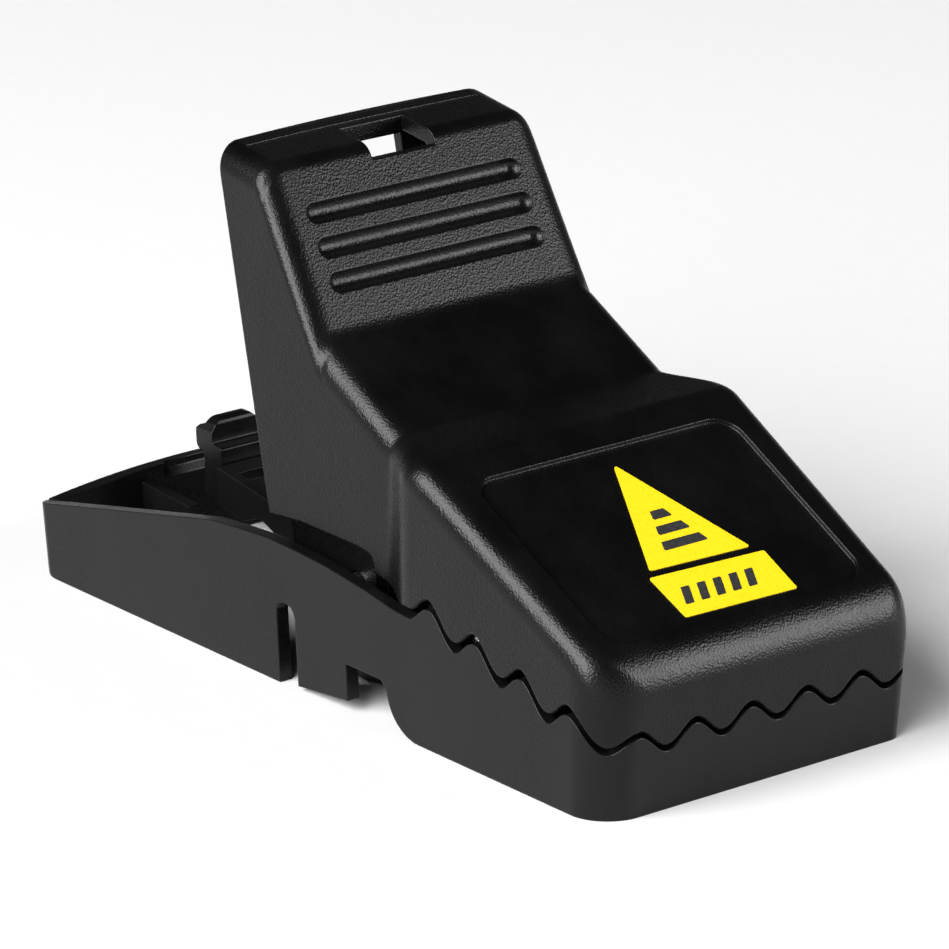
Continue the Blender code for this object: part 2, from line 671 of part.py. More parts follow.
# ---------------------------------------------------------------- hinge and springs
def build_hinge():
    end = HALF_WIDTH + DRAFT * PIVOT_Z - 1.1
    cross_rod("hinge_pin", PIVOT_X, PIVOT_Z, PIN_RADIUS, -end, end, STEEL)
    for label, side in (("right", -1), ("left", 1)):
        low, high = sorted((side * (BRACKET_OUT + FIT), side * (BRACKET_OUT + FIT + 0.9)))
        clip = cross_rod(f"hinge_clip_{label}", PIVOT_X, PIVOT_Z, 3.2, low, high, STEEL)
        cut(clip, cross_rod(f"cut_clip_{label}", PIVOT_X, PIVOT_Z, PIN_RADIUS + FIT,
                            low - 1, high + 1))
        low, high = sorted((side * 4.7, side * (BRACKET_IN - FIT)))
        spool = cross_rod(f"spring_spool_{label}", PIVOT_X, PIVOT_Z, 2.8, low, high, LEVER_BLACK)
        cut(spool, cross_rod(f"cut_spool_{label}", PIVOT_X, PIVOT_Z, PIN_RADIUS + FIT,
                             low - 1, high + 1))
    spacer = cross_rod("hinge_spacer", PIVOT_X, PIVOT_Z, 2.5, -4.4, 4.4, LEVER_BLACK)
    cut(spacer, cross_rod("cut_spacer", PIVOT_X, PIVOT_Z, PIN_RADIUS + FIT, -6, 6))
    cross_rod("trigger_pin", TRIGGER_X, TRIGGER_Z, TRIGGER_PIN_RADIUS, -BRACKET_OUT + 0.2,
              BRACKET_OUT - 0.2, STEEL)


def coil_point(x, z, radius, angle, y):
    a = math.radians(angle)
    return point(x + radius * math.cos(a), y, z + radius * math.sin(a))


def build_jaw_spring(label, side):
    """A torsion spring in two halves: the floor leg's half stays with the base, and the
    other leg's half turns with the jaw."""
    start, stop = 60.0, 360.0 * 4 + 21.6
    outer, inner = side * 11.7, side * 5.3

    def turn(share):
        return coil_point(PIVOT_X, PIVOT_Z, COIL_RADIUS, start + (stop - start) * share,
                          outer + (inner - outer) * share)

    steps = 64
    middle = steps // 2
    a = math.radians(start)
    first = turn(0)
    leg = first + Vector((math.sin(a), 0, -math.cos(a))) * FLOOR_LEG * MM
    wire(f"jaw_spring_{label}", [leg] + [turn(i / steps) for i in range(middle + 1)],
         SPRING_WIRE, SPRING_STEEL)
    a = math.radians(stop)
    last = turn(1)
    tip = last + Vector((-math.sin(a), 0, math.cos(a))) * JAW_LEG * MM
    wire(f"jaw_spring_{label}_arm", [turn((i + 0.6) / steps) for i in range(middle, steps)]
         + [last, tip], SPRING_WIRE, SPRING_STEEL)


def build_trigger_spring():
    """A light spring on the trigger pin that lifts the pedal."""
    start, stop = 90.0, 90.0 + 360 * 3
    y_low, y_high = 4.9, 8.2
    steps = 40
    route = []
    for i in range(steps + 1):
        share = i / steps
        route.append(coil_point(TRIGGER_X, TRIGGER_Z, 1.9, start + (stop - start) * share,
                                y_high + (y_low - y_high) * share))
    a = math.radians(start)
    first = route[0] + Vector((math.sin(a), 0, -math.cos(a))) * 8.0 * MM
    a = math.radians(stop)
    last = route[-1] + Vector((-math.sin(a), 0, math.cos(a))) * 6.0 * MM
    wire("trigger_spring", [first] + route + [last], 0.3, SPRING_STEEL)


# ---------------------------------------------------------------- trigger
def build_trigger():
    arm = [(TRIGGER_X, 3.2), (21.8, 6.9), (18.8, 8.1), (15.9, 7.0), (10.7, 7.6), (10.7, 12.1),
           (22.0, 10.4), (47.0, 7.2), (TRIGGER_X, 7.2), (69.2, 7.3), (69.2, 5.8), (64.0, 5.8),
           (55.0, 3.2)]
    lever = side_plate("trigger_lever", arm, -4.2, 4.2, LEVER_BLACK)
    join(lever, cross_rod("add_trigger_hub", TRIGGER_X, TRIGGER_Z, 2.7, -4.2, 4.2))
    cut(lever, cross_rod("cut_lever_bore", TRIGGER_X, TRIGGER_Z, TRIGGER_PIN_RADIUS + FIT, -9, 9))
    cut(lever, block("cut_tongue_left", (57.5, 3.4, 0), (72.0, 9, 12)),
        block("cut_tongue_right", (57.5, -9, 0), (72.0, -3.4, 12)))
    channel = [(13.0, 10.5), (30.0, 8.2), (44.0, 6.4), (44.0, 14.0), (13.0, 14.0)]
    cut(lever, side_plate("cut_arm_channel", channel, -2.9, 2.9))

    hook = rounded([(10.4, 7.8), (10.4, 14.0, 0.3), (8.7, 14.2, 0.2), (8.7, 17.1, 0.7),
                    (7.0, 17.1, 0.5), (6.9, 16.0, 0.2), (5.5, 16.0, 0.9), (5.75, 13.0, 0.8),
                    (7.2, 13.0, 0.2), (7.2, 7.8)], 3)
    latch = side_plate("latch_hook", hook, -HOOK_HALF, HOOK_HALF, LEVER_BLACK)
    steps = 10
    arch = []
    for i in range(steps + 1):
        y = -HOOK_HALF - 0.2 + 2 * (HOOK_HALF + 0.2) * i / steps
        arch.append((y, 17.2 - 1.6 * (y / HOOK_HALF) ** 4))
    arch += [(HOOK_HALF + 0.2, 25), (-HOOK_HALF - 0.2, 25)]
    cut(latch, front_plate("cut_hook_arch", arch, 0, 20))

    outline = rounded_rectangle(65.8, 92.0, -10.4, 10.4, 4.0)
    pedal = level_plate("bait_pedal", outline, 8.2, 9.6, LEVER_BLACK)
    join(pedal, block("add_pedal_boss", (65.9, -3.3, 7.6), (69.2, 3.3, 8.6)))
    rim = level_plate("add_pedal_rim", rounded_rectangle(74.2, 91.9, -10.3, 10.3, 3.9), 9.0, 10.8)
    join(pedal, rim)
    cut(pedal, level_plate("cut_pedal_rim", rounded_rectangle(75.4, 90.7, -9.1, 9.1, 3.0),
                           9.6, 12.0))
    cut(pedal, upright_rod("cut_pedal_hole", CUP_X + 2, 0, 5.2, 5, 14))


# ---------------------------------------------------------------- bait cup
def build_cup():
    low = 0.9
    wall_in = CUP_RADIUS - 1.2
    profile = [(0.0, low + 1.2), (wall_in, low + 1.2), (wall_in, 4.4), (CUP_RADIUS, 4.4),
               (CUP_RADIUS, 2.1), (CUP_RADIUS + 1.5, 2.1), (CUP_RADIUS + 1.5, low), (0.0, low)]
    cup = turned("bait_cup", profile, Matrix.Translation(point(CUP_X, 0, 0)), CUP_GREY)
    cut(cup, block("cut_coin_slot", (CUP_X - 5.5, -0.9, -1), (CUP_X + 5.5, 0.9, low + 0.5)))


# ---------------------------------------------------------------- joints
def hang_on(name, place, piece_names):
    """An empty on a joint's axis, parent of the pieces that turn about it."""
    axis = bpy.data.objects.new(name, None)
    axis.location = place
    PARTS.objects.link(axis)
    for piece_name in piece_names:
        piece = bpy.data.objects[piece_name]
        piece.parent = axis
        piece.matrix_parent_inverse = Matrix.Translation(-place)


build_base()
build_jaw()
build_label()
build_hinge()
for side_name, side_sign in (("right", -1), ("left", 1)):
    build_jaw_spring(side_name, side_sign)
build_trigger_spring()
build_trigger()
build_cup()
hang_on("jaw_axis", point(PIVOT_X, 0, PIVOT_Z),
        ["upper_jaw", "label_triangle", "label_strip", "jaw_spring_right_arm",
         "jaw_spring_left_arm"])
hang_on("trigger_axis", point(TRIGGER_X, 0, TRIGGER_Z),
        ["trigger_lever", "latch_hook", "bait_pedal"])
hang_on("cup_axis", point(CUP_X, 0, 0), ["bait_cup"])
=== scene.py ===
"""Looks of the snap mouse trap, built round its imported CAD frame.

The two shells, the jaw springs and the label are modelled here in fine detail; the other
pieces are the frame's own, with softened edges and better materials. Sizes are millimetres
from the foot of the rear wall, as in the CAD, and point() turns them into metres.
"""

import math

import bmesh
import bpy
from mathutils import Matrix, Vector

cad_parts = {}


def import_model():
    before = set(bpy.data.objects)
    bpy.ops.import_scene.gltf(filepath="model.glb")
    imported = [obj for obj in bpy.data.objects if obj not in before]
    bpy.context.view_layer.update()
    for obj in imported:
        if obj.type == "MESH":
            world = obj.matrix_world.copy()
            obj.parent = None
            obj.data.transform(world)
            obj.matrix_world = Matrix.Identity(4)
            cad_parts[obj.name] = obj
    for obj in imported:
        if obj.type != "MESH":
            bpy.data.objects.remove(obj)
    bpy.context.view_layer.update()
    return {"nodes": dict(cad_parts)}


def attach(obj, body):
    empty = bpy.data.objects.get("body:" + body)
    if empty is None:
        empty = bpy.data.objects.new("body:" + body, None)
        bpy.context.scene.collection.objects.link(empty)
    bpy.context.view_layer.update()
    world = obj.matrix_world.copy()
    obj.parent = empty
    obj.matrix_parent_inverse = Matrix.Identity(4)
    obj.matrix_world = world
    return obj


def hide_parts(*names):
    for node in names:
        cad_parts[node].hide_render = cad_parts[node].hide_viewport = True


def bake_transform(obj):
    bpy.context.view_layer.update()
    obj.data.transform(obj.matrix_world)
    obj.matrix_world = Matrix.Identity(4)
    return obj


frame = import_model()

# ---------------------------------------------------------------- driving dimensions (mm)
MM = 0.001
MIDDLE = 50.11              # middle of the whole trap, from the foot of the rear wall
LENGTH = 100.0              # base, foot to foot
HALF_WIDTH = 21.24          # base, at its foot
DRAFT = math.tan(math.radians(3.0))
WALL = 1.6                  # moulded walls
FIT = 0.3                   # gap between pieces that touch
EDGE_GROW = 0.5             # how far draft has carried the walls out at the toothed edge

REAR_CORNER = 1.7           # plan radii of the base
FRONT_CORNERS = {-1: 5.0, 1: 2.0}    # right and left front corners: the left one is tighter
REAR_FOOT = 2.5             # radius of the rear wall's foot, seen from the side
REAR_HEIGHT = 8.7
REAR_CROWN = 1.45           # extra height at the middle of the rear wall

PIVOT_X, PIVOT_Z = 54.0, 13.0        # jaw hinge
PIN_RADIUS = 1.5
TRIGGER_X, TRIGGER_Z = 52.0, 4.7     # trigger hinge
TRIGGER_PIN_RADIUS = 1.1

JAW_WALL = 1.7
JAW_EDGE = 3.0              # round edge between the jaw's top and its sides
HEEL_BACK = (31.3, 58.0)    # back edge of the heel, at its middle height
HEEL_BULGE = 1.0            # how far that edge bows out
EDGE_STEPS = 12             # facets of the round edge
ACROSS = 16                 # facets across the jaw's top
NECK_HALF = 19.78           # half width of the jaw's neck at its foot
NECK_TAPER = 0.017          # half width lost for each mm of height
FLARE_START, FLARE_END = 61.8, 69.6
CREASE = (38.9, 57.0)       # heel top meets thumb pad
PAD_FOOT = (49.2, 39.8)
RAMP_FOOT = (62.8, 32.8)
LABEL_TOP = (70.8, 32.2)
LABEL_FOOT = (98.4, 18.2)
NOSE_RADIUS = 6.2

GROOVES = (6.1, 10.1, 14.1)          # thumb grooves, down the pad from the crease
GROOVE_RADIUS, GROOVE_HALF, GROOVE_RISE = 1.25, 14.9, 0.35    # a round tool above the pad
PANEL_TOP, PANEL_FOOT, PANEL_HALF = 3.8, 30.0, 17.9      # sunk label panel, down the face
PANEL_DEPTH = 0.5
TRIANGLE = [(0.2, 6.1), (7.7, 21.7), (-6.0, 21.3)]       # (across, down the face)
STRIP = [(-6.8, 22.2), (8.8, 22.7), (8.9, 28.8), (-6.4, 28.5)]
HEEL_LINE = 32.9            # moulded line behind the latch slot
LATCH_SLOT = [(33.7, 53.2), (40.3, 53.2), (38.9, 55.5), (43.0, 55.5), (43.0, 62.0), (33.7, 62.0)]
LATCH_SLOT_SIDES = (-4.05, 4.85)
SKIRT_HEIGHT = 18.9         # foot of the neck's outer walls
LUG_IN, LUG_OUT = 16.5, 17.6         # plates that carry the jaw on its pin

TOOTH_GAP = 0.95            # open line between the two rows of teeth, on the sides
FRONT_GAP = 0.5             # and across the front
LIP_START = 60.1            # where the jaw's lip begins, over the plain wall top
TOOTH_START = 68.5          # where the teeth begin
SIDE_CREST, SIDE_PITCH = 95.3, 7.67
FRONT_CREST, FRONT_PITCH = -0.9, 7.7
SIDE_TOOTH, FRONT_TOOTH = 1.35, 1.15
FRONT_TOOTH_HEIGHT = 7.7
FRONT_TOOTH_FALL = 0.012    # the front teeth sit lower towards the left
SIDE_STEPS, FRONT_STEPS = 220, 90    # facets along the toothed edge
CORNER_STEPS = 36 / 4.2     # and round its corners, for each mm of radius
LIP_CHAMFER = 0.3           # broken corner along the jaw's toothed lip
WALL_TOP = [(-4.0, 7.85), (33.5, 16.0), (38.5, 16.45), (43.8, 16.8), (49.0, 16.7), (54.0, 16.4),
            (58.0, 15.95), (61.0, 15.6), (64.0, 15.05), (66.5, 14.7)]

BRACKET_IN, BRACKET_OUT = 12.6, 15.0
SIDE_SLOT_X, SIDE_SLOT_HALF, SIDE_SLOT_TOP = 46.55, 1.65, 8.2    # slot in both side walls
COIL_RADIUS = 3.9
SPRING_WIRE = 0.65          # radius
FLOOR_LEG, JAW_LEG = 22.5, 22.0      # straight legs of the jaw springs
CUP_X, CUP_RADIUS = 80.0, 8.4
FLOOR_LOW, FLOOR_HIGH = 2.4, 4.0

ROUND = 72                  # facets of a round piece
SHARP_ANGLE = 30            # degrees; a steeper fold stays a crisp edge


def point(x, y, z):
    """A place in mm, from the foot of the rear wall, as metres in the trap's frame."""
    return Vector(((x - MIDDLE) * MM, y * MM, z * MM))


# ---------------------------------------------------------------- mesh helpers
def finish(name, bm):
    """Close a bmesh into an object."""
    bmesh.ops.recalc_face_normals(bm, faces=bm.faces)
    mesh = bpy.data.meshes.new(name)
    bm.to_mesh(mesh)
    bm.free()
    made = bpy.data.objects.new(name, mesh)
    bpy.context.scene.collection.objects.link(made)
    return made


def loft(name, rings):
    """Skin rings of equal length and close both ends."""
    bm = bmesh.new()
    loops = [[bm.verts.new(p) for p in ring] for ring in rings]
    count = len(loops[0])
    for first, second in zip(loops, loops[1:]):
        for i in range(count):
            j = (i + 1) % count
            bm.faces.new((first[i], first[j], second[j], second[i]))
    bm.faces.new(list(reversed(loops[0])))
    bm.faces.new(loops[-1])
    return finish(name, bm)


def side_plate(name, outline, y_low, y_high):
    """An (x, z) outline, swept across the trap."""
    rings = [[point(x, y, z) for x, z in outline] for y in (y_low, y_high)]
    return loft(name, rings)


def front_plate(name, outline, x_low, x_high):
    """A (y, z) outline, swept along the trap."""
    rings = [[point(x, y, z) for y, z in outline] for x in (x_low, x_high)]
    return loft(name, rings)


def level_plate(name, outline, z_low, z_high):
    """An (x, y) outline, swept upwards."""
    rings = [[point(x, y, z) for x, y in outline] for z in (z_low, z_high)]
    return loft(name, rings)


def block(name, low, high):
    """A box between two corners."""
    outline = [(low[0], low[2]), (high[0], low[2]), (high[0], high[2]), (low[0], high[2])]
    return side_plate(name, outline, low[1], high[1])


def cross_rod(name, x, z, radius, y_low, y_high):
    """A cylinder that lies across the trap."""
    bm = bmesh.new()
    turn = Matrix.Rotation(math.pi / 2, 4, "X")
    place = Matrix.Translation(point(x, (y_low + y_high) / 2, z))
    bmesh.ops.create_cone(bm, cap_ends=True, segments=ROUND, radius1=radius * MM,
                          radius2=radius * MM, depth=(y_high - y_low) * MM,
                          matrix=place @ turn)
    return finish(name, bm)


def upright_rod(name, x, y, radius, z_low, z_high):
    """A cylinder that stands upright."""
    bm = bmesh.new()
    place = Matrix.Translation(point(x, y, (z_low + z_high) / 2))
    bmesh.ops.create_cone(bm, cap_ends=True, segments=ROUND, radius1=radius * MM,
                          radius2=radius * MM, depth=(z_high - z_low) * MM, matrix=place)
    return finish(name, bm)


def boolean(target, tool, operation):
    """A boolean modifier; settle() applies it."""
    step = target.modifiers.new(operation.lower() + "_" + tool.name, "BOOLEAN")
    step.operation = operation
    step.solver = "MANIFOLD"
    step.object = tool


def cut(target, *tools):
    for tool in tools:
        boolean(target, tool, "DIFFERENCE")


def join(target, tool):
    boolean(target, tool, "UNION")


def arc(cx, cz, radius, start, end, steps):
    """Points on a circle, angles in degrees."""
    out = []
    for i in range(steps + 1):
        a = math.radians(start + (end - start) * i / steps)
        out.append((cx + radius * math.cos(a), cz + radius * math.sin(a)))
    return out


def rounded(corners, steps=6):
    """An open path through (x, z, radius) corners with each corner rounded."""
    path = [corners[0][:2]]
    for before, here, after in zip(corners, corners[1:], corners[2:]):
        here_v = Vector(here[:2])
        back = (Vector(before[:2]) - here_v).normalized()
        ahead = (Vector(after[:2]) - here_v).normalized()
        half = back.angle(ahead) / 2
        reach = here[2] / math.tan(half)
        start, end = here_v + back * reach, here_v + ahead * reach
        centre = here_v + (back + ahead).normalized() * here[2] / math.sin(half)
        for i in range(steps + 1):
            ray = start.lerp(end, i / steps) - centre
            path.append(tuple(centre + ray.normalized() * here[2]))
    path.append(corners[-1][:2])
    return path


def settle(piece, body, *nodes):
    """Apply a shell's cuts, drop its cutters and put it in place of CAD nodes."""
    cutters = [step.object for step in piece.modifiers if step.type == "BOOLEAN"]
    cutters += [step.object for cutter in cutters for step in cutter.modifiers
                if step.type == "BOOLEAN"]
    graph = bpy.context.evaluated_depsgraph_get()
    solid = bpy.data.meshes.new_from_object(piece.evaluated_get(graph))
    piece.modifiers.clear()
    piece.data = solid
    for cutter in cutters:
        bpy.data.objects.remove(cutter, do_unlink=True)
    solid.shade_smooth()
    solid.set_sharp_from_angle(angle=math.radians(SHARP_ANGLE))
    even = piece.modifiers.new("even_normals", "WEIGHTED_NORMAL")
    even.keep_sharp = True
    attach(piece, body)
    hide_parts(*nodes)


# ---------------------------------------------------------------- the toothed edge
def side_mean(x):
    """Middle height of the teeth along the sides."""
    return 15.15 - 0.222 * (x - 72.0)


def at_height(path, x):
    """Height of a path at x."""
    for a, b in zip(path, path[1:]):
        if a[0] <= x <= b[0]:
            return a[1] + (b[1] - a[1]) * (x - a[0]) / (b[0] - a[0])
    return path[-1][1]


def side_edge(x):
    """Height of the base's edge along the sides: plain first, then toothed."""
    start = max(x, TOOTH_START)
    edge = wave((start - SIDE_CREST) / SIDE_PITCH, side_mean(start), SIDE_TOOTH)
    if x < TOOTH_START:
        return at_height(WALL_TOP + [(TOOTH_START, edge)], x)
    return edge


def front_mean(y):
    """Middle height of the teeth across the front."""
    return FRONT_TOOTH_HEIGHT - FRONT_TOOTH_FALL * y


def wave(phase, mean, height):
    """A tooth's profile: rounded crests one phase apart."""
    return mean + height * math.cos(2 * math.pi * phase)


def half_tooth_path(side):
    """Stations along one side wall, round its corner and on to the middle of the front.

    Each is (x, y, outward x, outward y, edge height)."""
    radius = FRONT_CORNERS[side] - WALL / 2
    half = HALF_WIDTH + EDGE_GROW - WALL / 2
    front = LENGTH + EDGE_GROW - WALL / 2
    corner_x, corner_y = front - radius, half - radius
    path = []
    for i in range(SIDE_STEPS):
        x = LIP_START + (corner_x - LIP_START) * i / SIDE_STEPS
        path.append((x, side * half, 0.0, side, side_edge(x)))
    first = (corner_x - SIDE_CREST) / SIDE_PITCH
    reach = first + radius * math.pi / 2 / FRONT_PITCH
    start = side * (FRONT_CREST - side * corner_y) / FRONT_PITCH
    last = reach + (start - reach + 0.5) % 1.0 - 0.5
    corner_steps = max(14, round(CORNER_STEPS * radius))
    for i in range(corner_steps):
        share = i / corner_steps
        turn = math.radians(90 * share)
        out_x, out_y = math.sin(turn), side * math.cos(turn)
        mean = side_mean(corner_x) * (1 - share) + front_mean(side * corner_y) * share
        height = SIDE_TOOTH * (1 - share) + FRONT_TOOTH * share
        edge = wave(first + (last - first) * share, mean, height)
        path.append((corner_x + radius * out_x, side * corner_y + radius * out_y, out_x, out_y,
                     edge))
    for i in range(FRONT_STEPS + 1):
        y = side * corner_y * (1 - i / FRONT_STEPS)
        edge = wave((y - FRONT_CREST) / FRONT_PITCH, front_mean(y), FRONT_TOOTH)
        path.append((front, y, 1.0, 0.0, edge))
    return path


def tooth_band(name, side_lift, front_lift, far_height, chamfer=0.0):
    """A band over the wall whose one face is the toothed edge, raised by the lifts.

    A chamfer breaks the wall's outer corner where the band cuts it."""
    outer, inner = 4.0, -3.0
    rings = []
    for x, y, out_x, out_y, height in half_tooth_path(-1) + half_tooth_path(1)[-2::-1]:
        edge = height + side_lift + (front_lift - side_lift) * out_x
        face = WALL / 2 - EDGE_GROW + DRAFT * edge
        rise = outer - face + chamfer if chamfer else 0.0
        section = ((outer, edge + rise), (outer, far_height), (inner, far_height), (inner, edge),
                   (face - chamfer, edge))
        rings.append([point(x + out_x * reach, y + out_y * reach, z) for reach, z in section])
    return loft(name, rings)


# ---------------------------------------------------------------- base
def base_outline(z, inset=0.0):
    """Plan of the base at a height: draft makes it wider upwards."""
    grow = DRAFT * z - inset
    half = HALF_WIDTH + grow
    rear, front = -grow, LENGTH + grow
    rear_r = max(REAR_CORNER - inset, 0.9)
    right_r, left_r = (max(FRONT_CORNERS[side] - inset, 0.5) for side in (-1, 1))
    ring = arc(front - right_r, -half + right_r, right_r, -90, 0, 28)
    ring += arc(front - left_r, half - left_r, left_r, 0, 90, 28)
    ring += arc(rear + rear_r, half - rear_r, rear_r, 90, 180, 10)
    ring += arc(rear + rear_r, -half + rear_r, rear_r, 180, 270, 10)
    return ring


def base_solid(name, z_low, z_high, inset=0.0):
    """The base's block between two heights, drawn inwards by inset."""
    rings = [[point(x, y, z) for x, y in base_outline(z, inset)] for z in (z_low, z_high)]
    return loft(name, rings)


def wall_top_cutter(name, y_low, y_high):
    """All above the plain stretch of a side wall."""
    end = TOOTH_START + 0.01
    outline = WALL_TOP + [(end, side_edge(end)), (end, 30), (WALL_TOP[0][0], 30)]
    return side_plate(name, outline, y_low, y_high)


def rear_top_cutter():
    """Rounds the rear wall's top into a low crown."""
    steps = 60
    half = HALF_WIDTH - 1.0
    crown = []
    for i in range(steps + 1):
        y = -half + 2 * half * i / steps
        crown.append((y, REAR_HEIGHT + REAR_CROWN * (1 - (y / half) ** 2)))
    return front_plate("cut_rear_top", crown + [(half, 30), (-half, 30)], -4, WALL + 2.2)


def bracket(name, y_low, y_high):
    """The upright that carries both hinge pins."""
    outline = [(45.8, 1.0), (66.0, 1.0), (66.0, FLOOR_HIGH + 1.0), (61.5, 8.0)]
    outline += arc(PIVOT_X, PIVOT_Z, 5.2, 10, 170, 40)
    outline += [(46.6, 8.4)]
    return side_plate(name, outline, y_low, y_high)


def build_base():
    """The base moulding: walls, floor, hinge brackets and hook guides."""
    base = base_solid("base_moulding", 0.0, 21.0)
    cut(base, base_solid("cut_cavity", -1.0, 22.0, WALL))

    floor = base_solid("add_floor", FLOOR_LOW, FLOOR_HIGH, WALL - 0.4)
    cut(floor, block("cut_floor_rear", (-5, -30, -5), (62.0, 30, 30)))
    join(base, floor)
    cross_wall = block("add_cross_wall", (62.2, -HALF_WIDTH, FLOOR_LOW), (63.8, HALF_WIDTH, 9.0))
    join(base, cross_wall)
    for side in (-1, 1):
        ends = sorted((side * BRACKET_IN, side * BRACKET_OUT))
        join(base, bracket(f"add_bracket_{ends[0]:.0f}", *ends))
    for side in (-1, 1):
        low, high = sorted((side * 6.4, side * 7.8))
        guide = [(0.6, 2.6), (10.0, 3.4), (10.0, 7.9), (0.6, 8.5)]
        join(base, side_plate(f"add_guide_{low:.0f}", guide, low, high))
    collar = upright_rod("add_collar", CUP_X, 0, CUP_RADIUS + 2.0, FLOOR_LOW, FLOOR_HIGH + 0.6)
    join(base, collar)

    for side in (-1, 1):
        low, high = sorted((side * (HALF_WIDTH - 1.3), side * 30))
        cut(base, wall_top_cutter(f"cut_wall_top_{low:.0f}", low, high))
    cut(base, tooth_band("cut_above_teeth", 0.0, 0.0, 30.0), rear_top_cutter())
    cut(base, block("cut_lever_gap", (61.0, -5.0, FLOOR_HIGH), (65.0, 5.0, 12.0)))
    cut(base, upright_rod("cut_cup_hole", CUP_X, 0, CUP_RADIUS + FIT, -1, 12))
    socket = HALF_WIDTH + DRAFT * PIVOT_Z - 0.8
    cut(base, cross_rod("cut_hinge_bore", PIVOT_X, PIVOT_Z, PIN_RADIUS + FIT, -socket, socket))
    cut(base, cross_rod("cut_trigger_bore", TRIGGER_X, TRIGGER_Z,
                        TRIGGER_PIN_RADIUS + FIT, -16, 16))

    slot = [(SIDE_SLOT_X - SIDE_SLOT_HALF, -2), (SIDE_SLOT_X + SIDE_SLOT_HALF, -2)]
    slot += arc(SIDE_SLOT_X, SIDE_SLOT_TOP, SIDE_SLOT_HALF, 0, 180, 32)
    cut(base, side_plate("cut_side_slot", slot, -30, 30))
    notch = [(57.1, -2), (57.1, 5.8), (63.3, 5.8)]
    notch += [(64.2 + 5.2 * (1 - math.cos(a)), 5.0 * (1 - math.sin(a)))
              for a in [math.radians(3 * k) for k in range(1, 30)]]
    notch += [(69.4, -2)]
    for side in (-1, 1):
        low, high = sorted((side * 17.5, side * 30))
        cut(base, side_plate(f"cut_notch_{low:.0f}", notch, low, high))
    foot = [(47.5, -2), (47.5, 0.45), (57.5, 1.5), (57.5, -2)]
    cut(base, side_plate("cut_middle_foot", foot, -30, 30))
    heel = arc(REAR_FOOT - 0.1, REAR_FOOT, REAR_FOOT, 270, 180, 24)
    heel += [(-3, REAR_FOOT), (-3, -1), (REAR_FOOT - 0.1, -1)]
    cut(base, side_plate("cut_rear_foot", heel, -30, 30))
    relief = [(WALL - 1.05, 30), (WALL - 1.05, REAR_HEIGHT + 0.6), (WALL + 0.8, REAR_HEIGHT - 2.2),
              (WALL + 0.8, 30)]
    cut(base, side_plate("cut_rear_relief", relief, -4.6, 4.6))
    return base


# ---------------------------------------------------------------- upper jaw
def neck_half(z):
    """Half width of the jaw's neck at a height."""
    return NECK_HALF - NECK_TAPER * (z - 14.0)


def nose_half(z):
    """Half width of the jaw's nose, flush with the base's walls."""
    return HALF_WIDTH + DRAFT * z


def split_long(path, longest):
    """Add points so that no step of a path is longer than longest."""
    out = [path[0]]
    for a, b in zip(path, path[1:]):
        steps = max(1, math.ceil(math.dist(a, b) / longest))
        for i in range(1, steps + 1):
            out.append((a[0] + (b[0] - a[0]) * i / steps, a[1] + (b[1] - a[1]) * i / steps))
    return out


def at_share(path, share):
    """The point at a share of a path's length."""
    runs = [0.0]
    for a, b in zip(path, path[1:]):
        runs.append(runs[-1] + math.dist(a, b))
    want = runs[-1] * share
    k = 0
    while k < len(path) - 2 and runs[k + 1] < want:
        k += 1
    part = (want - runs[k]) / (runs[k + 1] - runs[k])
    return tuple(path[k][i] + (path[k + 1][i] - path[k][i]) * part for i in (0, 1))


def jaw_stations():
    """Sections of the jaw from the heel's back edge to the nose's front face.

    Each is ((top x, top z), (normal x, normal z), foot or None): the neck's sections fan out
    from the hinge lug, and the nose's sections stand upright."""
    slope = (LABEL_FOOT[1] - LABEL_TOP[1]) / (LABEL_FOOT[0] - LABEL_TOP[0])
    front_z = LABEL_TOP[1] + slope * (LENGTH + 0.9 - LABEL_TOP[0])
    corner = (LENGTH + DRAFT * front_z, front_z)
    front_foot = (LENGTH + DRAFT * 11.0, 11.0)
    top = rounded([HEEL_BACK, (*CREASE, 2.4), (*PAD_FOOT, 4.5), (*RAMP_FOOT, 3.0),
                   (*LABEL_TOP, 5.0), (*corner, NOSE_RADIUS), front_foot], 14)
    front_at = max(i for i, p in enumerate(top) if p[0] < FLARE_START)
    flare = (FLARE_START, at_height(top, FLARE_START))
    neck = split_long(top[:front_at + 1] + [flare], 2.0)[:-1]
    nose = split_long([flare] + top[front_at + 1:-1], 0.8)
    foot = rounded([(43.0, 11.0), (47.6, 6.9, 3.0), (54.0, 5.6, 8.0), (59.6, 8.0, 2.0),
                    (60.4, 13.0)], 4)
    places = neck + nose
    normals = []
    for i, here in enumerate(places):
        before = places[max(i - 1, 0)]
        after = places[min(i + 1, len(places) - 1)]
        run = Vector((after[0] - before[0], after[1] - before[1])).normalized()
        normals.append((-run.y, run.x))
    runs = [0.0]
    for a, b in zip(neck, neck[1:]):
        runs.append(runs[-1] + math.dist(a, b))
    total = runs[-1] + math.dist(neck[-1], flare)
    feet = [at_share(foot, run / total) for run in runs] + [None] * len(nose)
    return list(zip(places, normals, feet))


